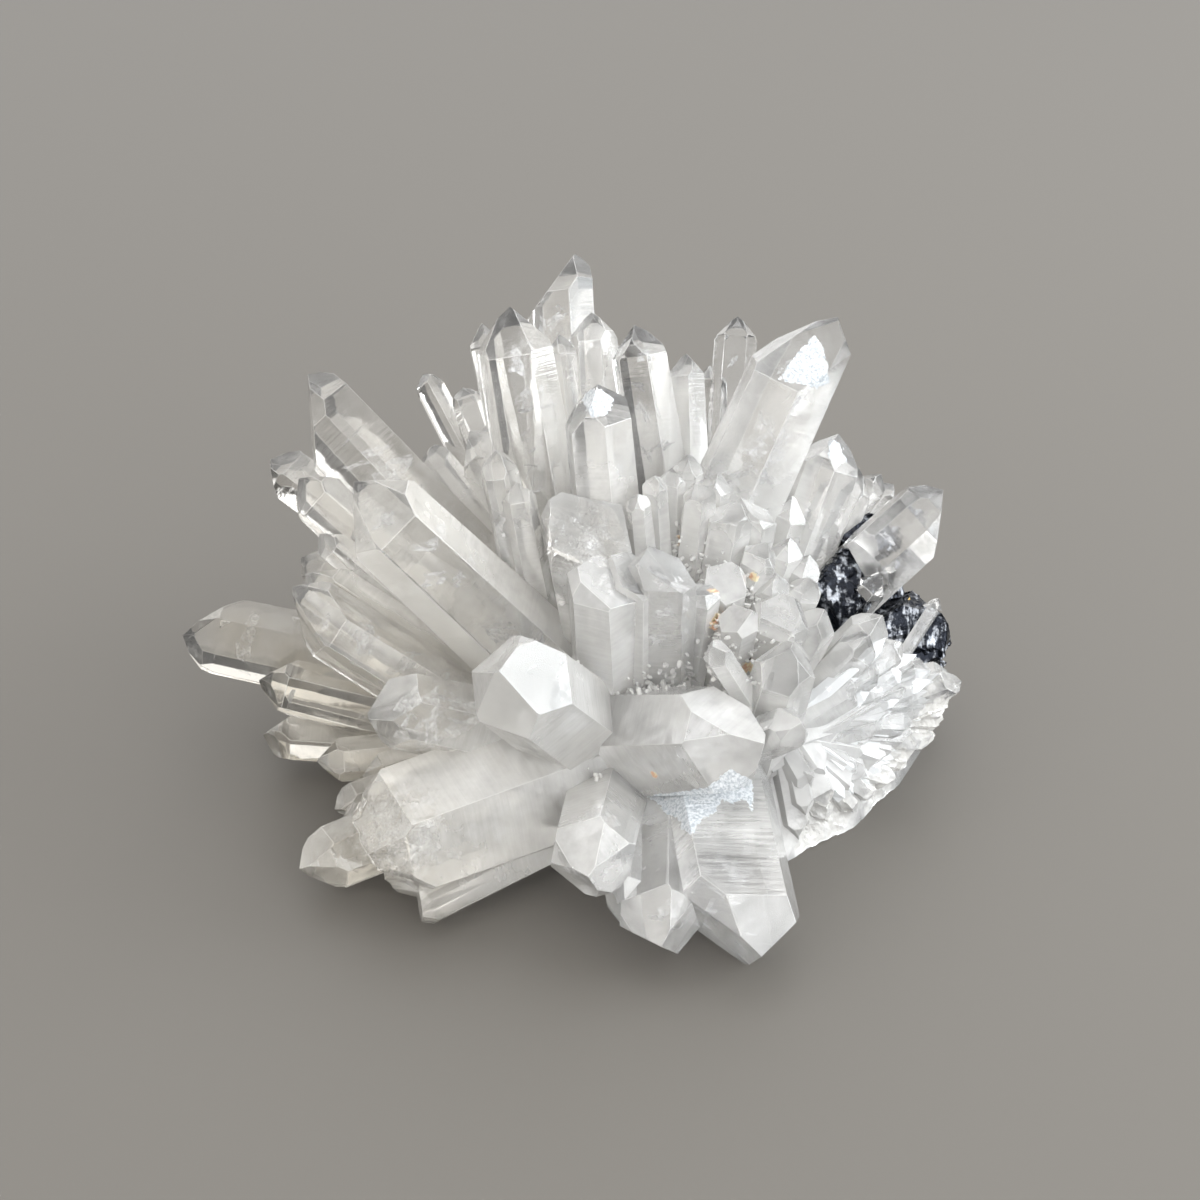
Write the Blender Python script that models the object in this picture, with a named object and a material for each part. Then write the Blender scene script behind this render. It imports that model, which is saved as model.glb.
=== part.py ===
"""A hand-sized cluster of rock crystal: six-sided quartz points that fan out from one low core,
with a patch of dark metallic ore grown into its right side.

The crystals seen from the front are placed by hand in a viewing frame, in millimetres: right of the
picture's centre, up from it, and towards the viewer. in_row_frame() turns such a point into the
cluster's own frame, which is in metres, +Z up, with the viewer on the -Y side. The back and the small
crystals between the large ones follow rules with a fixed seed.
"""

import itertools
import math
import random
from dataclasses import dataclass

import bmesh
import bpy
import numpy as np
from mathutils import Matrix, Vector, noise

MM = 0.001

# The viewing frame
VIEW_ELEVATION = math.radians(30)
VIEW_DISTANCE = 300.0
VIEW_HEIGHT = 28.0
UP = Vector((0, math.sin(VIEW_ELEVATION), math.cos(VIEW_ELEVATION)))
TOWARDS = Vector((0, -math.cos(VIEW_ELEVATION), math.sin(VIEW_ELEVATION)))
FOOTPRINT_CENTRE = Vector((-4.3, -0.2, 0))

# The core that all crystals grow from, in millimetres
CORE_CENTRE = Vector((7, 0, 4))
CORE_RADII = Vector((29, 26, 21))
CORE_LUMPS = 0.16

# Quartz: the point's faces stand at this angle to the long axis
POINT_FACE_ANGLE = math.radians(51.8)
ROOT_DEPTH = 5.0
CORE_GRIP = 1.5
# Half the distance between opposite long faces, over half the width across the edges
HIPS = 0.93


@dataclass
class Crystal:
    """One quartz crystal, from its buried root to its point, in viewing-frame millimetres.

    turn is the angle of its first long face about its axis, in degrees: 0 puts an edge towards the
    viewer and 30 a face. slim is its thickness over its width. lean moves the point off the axis,
    sideways and away from the viewer, in half widths. snapped cuts that share of the point away, on a
    slant.
    """

    tip: tuple
    root: tuple
    width: float
    turn: float = 0.0
    slim: float = 1.0
    lean: tuple = (0.0, 0.0)
    snapped: float = 0.0


# Crystals of the left side, from the top down
LEFT = [
    Crystal((-45.4, 31.4, -8), (-10.5, -6.3, -12), 12.6, turn=10, lean=(0.45, 0.1)),
    Crystal((-49.2, 20.7, -20), (-27, 4.8, -16), 8.5, turn=0),
    Crystal((-45.0, 17.9, -2), (-20, -4, -6), 8.4, turn=20),
    Crystal((-42.0, 9.8, 2), (-22, -7, -2), 5.4, turn=5),
    Crystal((-44.8, 6.4, -5), (-22, -9, -6), 6.6, turn=40),
    Crystal((-37.2, 16.7, 22), (-8.2, -10.2, 4), 12.2, turn=30, lean=(0.1, 0.0)),
    Crystal((-43.8, 3.9, 4), (-15, -16, 2), 7.6, turn=25),
    Crystal((-46.6, 0.2, 12), (-17, -18.5, 4), 10.8, turn=30, lean=(0.3, 0.3)),
    Crystal((-62.2, -4.2, -10), (-18, -13.5, -12), 11.2, turn=22, lean=(-0.2, 0.0)),
    Crystal((-50.7, -12.0, -2), (-20, -19.5, -6), 8.6, turn=15),
    Crystal((-35.2, -15.4, 24), (-9, -21, 8), 11.0, turn=25, snapped=0.5),
    Crystal((-50.4, -20.2, -9), (-16, -22.5, -10), 7.4, turn=0),
    Crystal((-42.0, -24.2, 2), (-16, -22, -4), 6.4, turn=30),
    Crystal((-35.4, -26.4, 6), (-16, -20, 0), 5.0, turn=10),
    Crystal((-39.6, -31.4, 9), (-16, -23, 0), 5.6, turn=20),
    Crystal((-38.9, -34.4, 15), (-16, -25, 4), 6.6, turn=0),
    Crystal((-44.6, -40.4, 20), (-16, -29, 8), 9.0, turn=30),
]

# Crystals of the front, most of them pointing at the viewer or down to the ground
FRONT = [
    Crystal((-39.4, -38.6, 26), (-1.5, -24.8, 9), 19.0, turn=12, slim=0.85, snapped=0.4),
    Crystal((-28.8, -47.0, 26), (-6, -35.5, 14), 6.0, turn=10, snapped=0.6),
    Crystal((-1.8, -41.2, 37), (1.4, -28.5, 10), 11.2, turn=8),
    Crystal((-14.6, -11.0, 41), (-1.5, -20.5, 6), 13.2, turn=24),
    Crystal((0.2, 6.2, 33), (1.6, -18, 4), 9.6, turn=8, snapped=0.85),
    Crystal((9.4, 7.8, 31), (8.6, -16, 4), 9.0, turn=26, snapped=0.8),
    Crystal((23.6, -20.8, 33), (-3.5, -21.5, 4), 14.2, turn=4, slim=0.95, lean=(0.1, 0.1)),
    Crystal((21.4, -53.4, 37), (15.8, -28, 12), 17.0, turn=14, slim=0.8, lean=(-0.25, 0.0)),
    Crystal((9.2, -52.0, 35), (9.2, -31, 12), 11.4, turn=0),
    Crystal((4.4, -47.6, 32), (5.4, -31, 13), 8.0, turn=12),
    Crystal((28.6, -7.4, 27), (24.6, -21, 10), 8.4, turn=20),
    Crystal((16.8, -7.0, 30), (24.4, -19, 12), 4.2, turn=6),
    Crystal((30.2, -18.4, 28), (19, -23, 12), 6.2, turn=30),
]

# Crystals that stand up along the skyline
TOP = [
    Crystal((-13.8, 43.4, 6), (-6.4, 0, -2), 11.2, turn=18, lean=(0.0, 0.1)),
    Crystal((-17.6, 41.0, -4), (-9.5, 5, -8), 6.2, turn=5),
    Crystal((-6.3, 51.4, -16), (-4.1, 6, -14), 11.2, turn=9, lean=(0.5, 0.0)),
    Crystal((-1.2, 42.6, -6), (1, 6, -8), 7.2, turn=22),
    Crystal((-6.2, 39.6, -5), (-2.5, 4, -7), 5.2, turn=0),
    Crystal((5.2, 40.9, 0), (10.4, 8, -6), 7.8, turn=12),
    Crystal((-0.8, 32.2, 15), (2.2, 0, 3), 8.9, turn=10, lean=(0.1, 0.0)),
    Crystal((12.9, 36.6, -12), (13.6, 8, -12), 6.4, turn=0),
    Crystal((16.4, 35.0, -18), (15.2, 8, -16), 6.0, turn=15),
    Crystal((20.6, 42.2, -14), (18.2, 10, -14), 6.6, turn=26),
    Crystal((33.0, 42.8, 8), (15.0, 3.6, -5), 12.6, turn=12, lean=(0.5, 0.4)),
    Crystal((-3.4, 16.6, 22), (1, -6, 3), 13.6, turn=0, snapped=0.9),
    Crystal((-15.8, 22.3, 14), (-10, -3, 0), 6.0, turn=10),
    Crystal((-12.6, 17.6, 15), (-8.4, -4, 2), 4.6, turn=30),
    Crystal((-26.4, 33.6, -36), (-16, 14, -26), 5.0, turn=10),
    Crystal((-20.4, 31.6, -30), (-14, 12, -24), 5.4, turn=30),
    Crystal((-27.2, 22.6, -30), (-14, 6, -20), 8.6, turn=0, snapped=0.6),
    Crystal((-22.4, 23.8, -33), (-12, 6, -22), 7.0, turn=15),
    Crystal((-17.0, 26.0, -24), (-9, 4, -16), 8.0, turn=20),
]

# The close-set small crystals between the large spear and the fan
MIDDLE = [
    Crystal((8.1, 18.6, 15), (9.2, 0, 4), 4.0, turn=0),
    Crystal((5.6, 15.8, 17), (7.4, -2, 5), 3.6, turn=20),
    Crystal((10.8, 19.6, 13), (10.6, 0, 3), 3.8, turn=15),
    Crystal((13.4, 21.6, 11), (12.0, 0, 2), 4.4, turn=30),
    Crystal((15.2, 17.6, 16), (13.2, -2, 4), 4.6, turn=5, snapped=0.5),
    Crystal((17.6, 18.8, 11), (14.6, 0, 2), 4.6, turn=22),
    Crystal((20.0, 15.4, 16), (16.4, -4, 4), 6.2, turn=12, snapped=0.7),
    Crystal((23.6, 15.8, 12), (19.4, -3, 2), 7.0, turn=28, snapped=0.6),
    Crystal((28.8, 15.2, 0), (24.0, 0, -6), 6.0, turn=10),
    Crystal((24.6, 8.6, 16), (19.8, -8, 4), 5.6, turn=0, snapped=0.4),
    Crystal((28.4, 9.0, 9), (23.2, -6, 0), 5.2, turn=24),
    Crystal((31.3, 6.4, 7), (24.8, -7, 0), 5.6, turn=8),
    Crystal((26.4, 4.0, 15), (21.6, -9, 4), 5.4, turn=16),
    Crystal((31.8, 3.2, 11), (25.4, -9, 2), 5.4, turn=0, snapped=0.3),
    Crystal((28.2, 0.6, 20), (23.2, -13, 6), 8.8, turn=20, snapped=0.5),
    Crystal((19.6, 5.6, 20), (15.6, -10, 6), 6.4, turn=4, snapped=0.8),
    Crystal((15.4, 3.0, 23), (13.0, -12, 8), 5.6, turn=26, snapped=0.7),
    Crystal((21.2, -1.2, 23), (18.2, -14, 8), 5.8, turn=14, snapped=0.6),
]

# Crystals of the right side
RIGHT = [
    Crystal((35.8, 24.6, -6), (27.6, 2, -10), 9.2, turn=14),
    Crystal((38.6, 19.6, -10), (28.6, 0, -12), 7.4, turn=28),
    Crystal((42.0, 18.7, -22), (20.4, -6.6, -23.7), 5.4, turn=12),
    Crystal((44.0, 17.2, -26), (22.0, -7.6, -25), 5.0, turn=0),
    Crystal((52.2, 15.6, -3), (26.5, -7.5, -10), 10.8, turn=4, lean=(-0.25, 0.1)),
    Crystal((50.6, 0.2, -12), (42, -13, -9), 4.8, turn=20),
    Crystal((42.2, 3.5, 0), (30, -11, -4), 4.6, turn=14),
    Crystal((33.4, -1.6, 15), (25.4, -16, 4), 6.6, turn=28, slim=0.8),
    Crystal((42.2, -2.6, 8), (28.6, -16.5, 2), 6.4, turn=12),
    Crystal((40.4, -5.4, 13), (28.2, -18.5, 4), 5.6, turn=0),
]

# Crystals that stand between these: in the milky block of the middle, and on the fan's rim
BETWEEN = [
    Crystal((5.2, 7.0, 30), (4.8, -17, 3), 9.4, turn=15, snapped=0.8),
    Crystal((54.0, -12.2, 1), (40, -17, 4), 6.0, turn=10),
]

# The fan: a sheaf of slender crystals, grown side by side, that spreads to the right. Its rim is in the
# viewing frame, and each row reaches that share of the way to the rim, raised towards the viewer
FAN_ROOT = Vector((28, -19, 9))
FAN_RIM = [
    (45.0, -5.6, 8), (49.4, -8.8, 3), (53.4, -11.2, 0), (52.8, -16.0, 0), (51.2, -20.4, -3),
    (47.6, -24.6, -4), (43.0, -28.6, 0), (36.4, -33.6, 5), (29.0, -37.0, 9),
]
FAN_ROWS = [(1.0, 0.0, 15), (0.82, 2.6, 13), (0.62, 3.4, 10)]
FAN_WIDTH = (3.4, 5.6)
FAN_SEED = 3

# The broken rind under the fan and the front, in the cluster's own frame, in millimetres
RIND_CORNERS = [
    (14, -30, 0), (27, -27.5, 0), (37.5, -19.5, 0), (46, -8, 0), (51, 2, 0), (44, 16, 0), (10, 0, 0),
    (20, -25, 8), (33, -18, 10), (43, -9, 11), (47, 0, 11), (38, 12, 9), (12, 0, 15), (27, -16, 16),
]

# The dark ore: overlapping blocks on the right, behind the fan. Centre and size, in millimetres
ORE_BLOCKS = [
    ((39, 15, 12), (16, 14, 17)),
    ((47, 10, 15), (13, 11, 13)),
    ((37, 8, 20), (9, 9, 12)),
    ((36.5, 3.5, 27), (9, 8, 12)),
    ((40.5, 17, 28), (8, 9, 13)),
    ((49, 11, 8), (9, 10, 10)),
    ((43, 20, 15), (12, 10, 12)),
    ((50, 16, 12), (7, 8, 10)),
]
ORE_GAP = 0.3

# Crystals of the back, which no hand-placed one covers
BACK_COUNT = 46
BACK_REACH = (40, 60)
BACK_WIDTH = (5.5, 11.5)
BACK_SEED = 11
ORE_CLEARING = 22
# What the back may reach in the viewing frame: right, and the height there
SKYLINE = [
    (-50, -20), (-47, 14), (-36, 20), (-26, 22), (-20, 32), (-10, 42), (0, 41), (9, 35), (20, 34),
    (28, 33), (33, 26), (38, 14), (41, -5), (43, -40),
]

# Small crystals scattered over the core
DRUSE_COUNT = 100
DRUSE_RISE = (3, 9)
DRUSE_WIDTH = (2.6, 5.2)
DRUSE_SEED = 5

# Colours and finish
QUARTZ_COLOUR = (0.90, 0.90, 0.88, 1.0)
ORE_COLOUR = (0.06, 0.065, 0.08, 1.0)


def in_row_frame(across, up, towards):
    """The point, in row-frame millimetres, that the viewer sees at (across, up) on the picture plane."""
    nearness = 1 - towards / VIEW_DISTANCE
    centre = Vector((0, 0, VIEW_HEIGHT))
    return centre + Vector((across * nearness, 0, 0)) + up * nearness * UP + towards * TOWARDS


def in_viewing_frame(point):
    """Across and up, as the viewer sees this row-frame point."""
    offset = point - Vector((0, 0, VIEW_HEIGHT))
    nearness = 1 - offset.dot(TOWARDS) / VIEW_DISTANCE
    return offset.x / nearness, offset.dot(UP) / nearness


def skyline_at(across):
    """The most that a crystal of the back may rise in the viewing frame."""
    xs, heights = zip(*SKYLINE)
    return float(np.interp(across, xs, heights))


def corners_of(planes):
    """The corners of the convex body inside these planes, each (outward normal, distance)."""
    normals = np.array([n for n, _ in planes])
    distances = np.array([d for _, d in planes])
    triples = np.array(list(itertools.combinations(range(len(planes)), 3)))
    matrices = normals[triples]
    solvable = np.abs(np.linalg.det(matrices)) > 1e-4
    right_hand = distances[triples[solvable]][:, :, None]
    points = np.linalg.solve(matrices[solvable], right_hand)[:, :, 0]
    inside = (points @ normals.T <= distances + 1e-6).all(axis=1)
    return np.unique(np.round(points[inside], 5), axis=0)


def hull_of(points):
    """(corners, faces) of the convex hull, with flat faces whole."""
    hull = bmesh.new()
    for point in points:
        hull.verts.new(point)
    made = bmesh.ops.convex_hull(hull, input=hull.verts)
    unused = set(made["geom_interior"] + made["geom_unused"])
    bmesh.ops.delete(hull, geom=[g for g in unused if isinstance(g, bmesh.types.BMVert)], context="VERTS")
    bmesh.ops.dissolve_limit(hull, angle_limit=math.radians(0.5), verts=hull.verts, edges=hull.edges)
    bmesh.ops.recalc_face_normals(hull, faces=hull.faces)
    hull.verts.index_update()
    corners = [vert.co.copy() for vert in hull.verts]
    faces = [[vert.index for vert in face.verts] for face in hull.faces]
    hull.free()
    return corners, faces


def quartz_point(length, width, turn, slim, lean, snapped, chance):
    """A quartz crystal along +Z from its root at 0 to its point at length, in millimetres."""
    half = width / 2 * HIPS
    planes = [((0, 0, -1), 0.0)]
    taper = math.radians(chance.uniform(0.3, 1.8))
    pair_shares = [chance.uniform(0.88, 1.06) for _ in range(3)]
    for side in range(6):
        angle = math.radians(turn + 60 * side)
        across, deep = math.cos(angle), math.sin(angle)
        reach = half * math.hypot(across, deep * slim) * pair_shares[side % 3]
        normal = (across * math.cos(taper), deep * math.cos(taper), math.sin(taper))
        at_point = length - half
        planes.append((normal, reach * math.cos(taper) + at_point * math.sin(taper)))
    apex = np.array((lean[0] * half, lean[1] * half, length))
    first_large = chance.randrange(2)
    for side in range(6):
        angle = math.radians(turn + 60 * side)
        slope = math.sin(POINT_FACE_ANGLE), math.cos(POINT_FACE_ANGLE)
        normal = np.array((math.cos(angle) * slope[0], math.sin(angle) * slope[0], slope[1]))
        small = (side + first_large) % 2
        outward = chance.uniform(0.12, 0.42) if small else chance.uniform(0.0, 0.12)
        planes.append((tuple(normal), float(normal @ apex) + outward * half))
    if snapped:
        angle = math.radians(chance.uniform(0, 360))
        slant = math.radians(chance.uniform(12, 32))
        normal = np.array((math.cos(angle) * math.sin(slant), math.sin(angle) * math.sin(slant), math.cos(slant)))
        broken_at = apex - (0, 0, snapped * half * 1.2)
        planes.append((tuple(normal), float(normal @ broken_at)))
    return corners_of(planes)


def leaves_core(start, axis):
    """How far along this axis, in millimetres, a point that starts here leaves the core. 0 if outside."""
    scaled = Vector((start - CORE_CENTRE)[i] / CORE_RADII[i] for i in range(3))
    slope = Vector(axis[i] / CORE_RADII[i] for i in range(3))
    half_b = scaled.dot(slope)
    root = half_b**2 - slope.dot(slope) * (scaled.dot(scaled) - 1)
    return max(0.0, (math.sqrt(root) - half_b) / slope.dot(slope)) if root > 0 else 0.0


def placed_crystal(tip, root, crystal, chance):
    """Hull of a crystal that stands between two row-frame points, in millimetres.

    A root deep inside the core is moved out to just under the core's surface.
    """
    axis = (tip - root).normalized()
    shortened = max(0.0, leaves_core(root, axis) - CORE_GRIP - crystal.width / 4)
    foot = root + axis * (shortened - ROOT_DEPTH)
    sideways = axis.cross(TOWARDS).normalized()
    away = axis.cross(sideways)
    frame = Matrix((sideways, away, axis)).transposed()
    length = (tip - foot).length
    points = quartz_point(
        length, crystal.width, crystal.turn, crystal.slim, crystal.lean, crystal.snapped, chance
    )
    return hull_of([foot + frame @ Vector(point) for point in points])


def along(line, share):
    """The point at this share of a line of points, with even steps from one to the next."""
    place = share * (len(line) - 1)
    first = min(int(place), len(line) - 2)
    return Vector(line[first]).lerp(Vector(line[first + 1]), place - first)


def fan():
    """The sheaf of slender crystals on the right."""
    chance = random.Random(FAN_SEED)
    crystals = []
    for reach, raised, count in FAN_ROWS:
        for k in range(count):
            rim = along(FAN_RIM, (k + chance.uniform(0.2, 0.8)) / count)
            tip = FAN_ROOT.lerp(rim, reach * chance.uniform(0.93, 1.0)) + Vector((0, 0, raised))
            root = FAN_ROOT + Vector((chance.uniform(-3, 3), chance.uniform(-3, 3), 0))
            width = chance.uniform(*FAN_WIDTH)
            snapped = chance.choice((0, 0, 0.7))
            crystals.append(Crystal(tip, root, width, chance.uniform(0, 60), slim=0.75, snapped=snapped))
    return crystals


def hand_placed():
    """Every crystal that is listed above, and the fan, as a hull."""
    hulls = []
    for number, crystal in enumerate([*LEFT, *FRONT, *TOP, *MIDDLE, *RIGHT, *fan(), *BETWEEN]):
        chance = random.Random(number)
        tip, root = in_row_frame(*crystal.tip), in_row_frame(*crystal.root)
        hulls.append(placed_crystal(tip, root, crystal, chance))
    return hulls


def back_crystals():
    """Large crystals on the far side, kept under the skyline of the front."""
    chance = random.Random(BACK_SEED)
    golden = math.pi * (3 - math.sqrt(5))
    hulls = []
    for k in range(BACK_COUNT):
        height = (k + 0.5) / BACK_COUNT
        elevation = math.asin(0.04 + 0.86 * height)
        azimuth = math.radians(90) + (k * golden % math.radians(200)) - math.radians(100)
        direction = Vector(
            (math.cos(azimuth) * math.cos(elevation), math.sin(azimuth) * math.cos(elevation), math.sin(elevation))
        )
        width = chance.uniform(*BACK_WIDTH)
        reach = chance.uniform(*BACK_REACH)
        turn, wander = chance.uniform(0, 60), Vector([chance.uniform(-4, 4) for _ in range(3)])
        root = CORE_CENTRE + direction * 8 + Vector((wander.x, abs(wander.y), abs(wander.z)))
        tip = CORE_CENTRE + direction * reach + wander
        across, up = in_viewing_frame(tip)
        while up > skyline_at(across) and reach > 24:
            reach -= 2
            tip = CORE_CENTRE + direction * reach + wander
            across, up = in_viewing_frame(tip)
        clear_of_ore = (tip - Vector(ORE_BLOCKS[0][0])).xy.length > ORE_CLEARING
        if reach > 30 and tip.z > width * 0.45 and clear_of_ore:
            hulls.append(placed_crystal(tip, root, Crystal(tip, root, width, turn), chance))
    return hulls


def druse():
    """Small crystals all over the core, pointing out of it."""
    chance = random.Random(DRUSE_SEED)
    golden = math.pi * (3 - math.sqrt(5))
    hulls = []
    for k in range(DRUSE_COUNT):
        elevation = math.asin(0.10 + 0.86 * (k + 0.5) / DRUSE_COUNT)
        azimuth = k * golden
        direction = Vector(
            (math.cos(azimuth) * math.cos(elevation), math.sin(azimuth) * math.cos(elevation), math.sin(elevation))
        )
        surface = Vector(d * r for d, r in zip(direction, CORE_RADII))
        tilt = Vector([chance.uniform(-0.3, 0.3) for _ in range(3)])
        axis = (surface.normalized() + tilt).normalized()
        width = chance.uniform(*DRUSE_WIDTH)
        tip = CORE_CENTRE + surface + axis * chance.uniform(*DRUSE_RISE)
        root = CORE_CENTRE + surface - axis * 4
        if tip.z > width * 0.5:
            hulls.append(placed_crystal(tip, root, Crystal(tip, root, width, chance.uniform(0, 60)), chance))
    return hulls


def core():
    """The lumpy low dome that everything grows from, as (corners, faces)."""
    ball = bmesh.new()
    bmesh.ops.create_icosphere(ball, subdivisions=2, radius=1.0)
    for vert in ball.verts:
        swell = 1 + CORE_LUMPS * noise.noise(vert.co * 1.9)
        vert.co = CORE_CENTRE + Vector(c * r * swell for c, r in zip(vert.co, CORE_RADII))
    ball.verts.index_update()
    corners = [vert.co.copy() for vert in ball.verts]
    faces = [[vert.index for vert in face.verts] for face in ball.faces]
    ball.free()
    return corners, faces


def ore_blocks(margin):
    """The ore's blocks as hulls, each side moved out by margin millimetres."""
    hulls = []
    for number, (centre, size) in enumerate(ORE_BLOCKS):
        chance = random.Random(100 + number)
        tilt = Matrix.Rotation(chance.uniform(0, math.pi), 3, Vector((chance.random(), chance.random(), 1)))
        planes = []
        for axis, side in itertools.product(range(3), (-1, 1)):
            normal = tilt.col[axis].normalized() * side
            planes.append((tuple(normal), size[axis] / 2 + margin))
        for corner in itertools.product((-1, 1), repeat=3):
            normal = (tilt @ Vector(corner)).normalized()
            share = chance.uniform(0.66, 0.95)
            planes.append((tuple(normal), share * sum(size) / 2 / math.sqrt(3) + margin))
        hulls.append(hull_of([Vector(point) + Vector(centre) for point in corners_of(planes)]))
    return hulls


def slab(low, high):
    """A box from its lowest to its highest corner."""
    return hull_of([Vector(corner) for corner in itertools.product(*zip(low, high))])


def new_object(name, hulls, helper=False):
    """One object that holds all these hulls, given in millimetres."""
    corners, faces = [], []
    for hull_corners, hull_faces in hulls:
        first = len(corners)
        corners += [(corner - FOOTPRINT_CENTRE) * MM for corner in hull_corners]
        faces += [[first + index for index in face] for face in hull_faces]
    mesh = bpy.data.meshes.new(name)
    mesh.from_pydata(corners, [], faces)
    mesh.validate()
    obj = bpy.data.objects.new(name, mesh)
    bpy.context.scene.collection.objects.link(obj)
    if helper:
        obj.hide_render = True
        obj.display_type = "WIRE"
    return obj


def boolean(obj, operation, other, within=False):
    """Joins, cuts or keeps what obj shares with other. within also joins what overlaps inside each."""
    modifier = obj.modifiers.new(f"{operation.lower()} {other.name}", "BOOLEAN")
    modifier.operation = operation
    modifier.object = other
    modifier.solver = "EXACT"
    modifier.use_self = within


def shells_of(body):
    """The closed surfaces of this bmesh as (volume, faces), the largest volume first."""
    waiting = set(body.faces)
    shells = []
    while waiting:
        front = [waiting.pop()]
        faces = []
        while front:
            face = front.pop()
            faces.append(face)
            for edge in face.edges:
                for other in edge.link_faces:
                    if other in waiting:
                        waiting.remove(other)
                        front.append(other)
        corners = [[loop.vert.co for loop in face.loops] for face in faces]
        volume = sum(c[0].dot(a.cross(b)) / 6 for c in corners for a, b in zip(c[1:], c[2:]))
        shells.append((volume, faces))
    return sorted(shells, key=lambda shell: -shell[0])


def settle(obj):
    """Applies obj's modifiers and keeps its outer surface only.

    Crystals that cross leave a few sealed pockets and loose chips, and both go.
    """
    graph = bpy.context.evaluated_depsgraph_get()
    mesh = bpy.data.meshes.new_from_object(obj.evaluated_get(graph))
    body = bmesh.new()
    body.from_mesh(mesh)
    for _, faces in shells_of(body)[1:]:
        bmesh.ops.delete(body, geom=faces, context="FACES")
    body.to_mesh(mesh)
    body.free()
    obj.modifiers.clear()
    obj.data = mesh


def material(name, colour, roughness, metallic=0.0, transmission=0.0):
    """A plain Principled material."""
    made = bpy.data.materials.new(name)
    made.use_nodes = True
    shader = made.node_tree.nodes["Principled BSDF"]
    shader.inputs["Base Color"].default_value = colour
    shader.inputs["Roughness"].default_value = roughness
    shader.inputs["Metallic"].default_value = metallic
    shader.inputs["Transmission Weight"].default_value = transmission
    shader.inputs["IOR"].default_value = 1.544
    return made


def main():
    """Builds the quartz and the ore."""
    for obj in list(bpy.data.objects):
        bpy.data.objects.remove(obj)

    above_ground = new_object("above_ground", [slab((-100, -100, 0), (100, 100, 120))], helper=True)

    crystals = new_object("crystals", [*hand_placed(), *back_crystals(), *druse()], helper=True)
    quartz = new_object("quartz_crystals", [core()])
    rind = new_object("rind", [hull_of([Vector(corner) for corner in RIND_CORNERS])], helper=True)
    boolean(quartz, "UNION", rind)
    boolean(quartz, "UNION", crystals, within=True)
    boolean(quartz, "INTERSECT", above_ground)
    ore_room = new_object("ore_room", ore_blocks(ORE_GAP), helper=True)
    boolean(quartz, "DIFFERENCE", ore_room, within=True)
    settle(quartz)
    quartz.data.materials.append(material("quartz", QUARTZ_COLOUR, 0.12, transmission=0.7))

    ore_body, *ore_rest = ore_blocks(0.0)
    ore = new_object("dark_ore", [ore_body])
    ore_more = new_object("ore_more", ore_rest, helper=True)
    boolean(ore, "UNION", ore_more, within=True)
    boolean(ore, "INTERSECT", above_ground)
    settle(ore)
    ore.data.materials.append(material("ore", ORE_COLOUR, 0.3, metallic=0.9))


if __name__ == "__main__":
    main()
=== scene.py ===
"""Looks of the quartz cluster: clear to milky crystals, small druse between them, and dark ore."""

import logging
import math
import random
from dataclasses import dataclass
from enum import Enum
from functools import cached_property

import bmesh
import bpy
import numpy as np
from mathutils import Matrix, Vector, noise
from mathutils.bvhtree import BVHTree

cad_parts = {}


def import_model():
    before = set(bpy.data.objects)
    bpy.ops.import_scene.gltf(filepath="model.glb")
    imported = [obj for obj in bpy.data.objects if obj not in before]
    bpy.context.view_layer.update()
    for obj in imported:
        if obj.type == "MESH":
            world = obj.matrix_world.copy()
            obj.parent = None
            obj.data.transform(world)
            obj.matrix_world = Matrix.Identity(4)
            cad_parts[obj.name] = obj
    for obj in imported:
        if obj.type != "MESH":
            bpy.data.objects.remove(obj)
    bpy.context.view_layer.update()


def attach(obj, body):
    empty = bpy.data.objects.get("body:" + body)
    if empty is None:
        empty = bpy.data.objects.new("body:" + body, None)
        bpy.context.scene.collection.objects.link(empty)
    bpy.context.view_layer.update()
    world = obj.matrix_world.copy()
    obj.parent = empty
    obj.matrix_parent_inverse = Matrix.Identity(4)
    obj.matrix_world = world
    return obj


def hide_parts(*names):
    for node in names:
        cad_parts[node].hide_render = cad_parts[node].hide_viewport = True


Socket = bpy.types.NodeSocket
LOG = logging.getLogger("quartz")
MM = 0.001

# The photograph's view: its angle, then its distance, its target's height and its width there in millimetres
VIEW_ELEVATION = math.radians(30)
VIEW_DISTANCE = 300.0
VIEW_HEIGHT = 28.0
VIEW_WIDTH = 180.0
UP = Vector((0, math.sin(VIEW_ELEVATION), math.cos(VIEW_ELEVATION)))
TOWARDS = Vector((0, -math.cos(VIEW_ELEVATION), math.sin(VIEW_ELEVATION)))
FOOTPRINT_CENTRE = Vector((-4.3, -0.2, 0))
CORE_CENTRE = (Vector((7, 0, 4)) - FOOTPRINT_CENTRE) * MM


def seen_at(across: float, up: float, towards: float) -> Vector:
    """A point of the cluster from its place in the photograph's view.

    Args:
        across: millimetres right of the view's centre line.
        up: millimetres above it, on the plane that faces the viewer.
        towards: millimetres nearer the viewer than the view's target.

    Returns:
        The point in the frame's metres.
    """
    nearness = 1 - towards / VIEW_DISTANCE
    point = Vector((across * nearness, 0, VIEW_HEIGHT)) + up * nearness * UP + towards * TOWARDS
    return (point - FOOTPRINT_CENTRE) * MM


def places_seen(points: np.ndarray) -> np.ndarray:
    """Where the photograph's view shows points.

    Args:
        points: in metres.

    Returns:
        For each point, millimetres right of the view's middle and above it.
    """
    local = points / MM + np.array(FOOTPRINT_CENTRE) - (0, 0, VIEW_HEIGHT)
    nearness = 1 - local @ np.array(TOWARDS) / VIEW_DISTANCE
    return np.stack([local[:, 0] / nearness, local @ np.array(UP) / nearness], axis=1)


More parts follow.
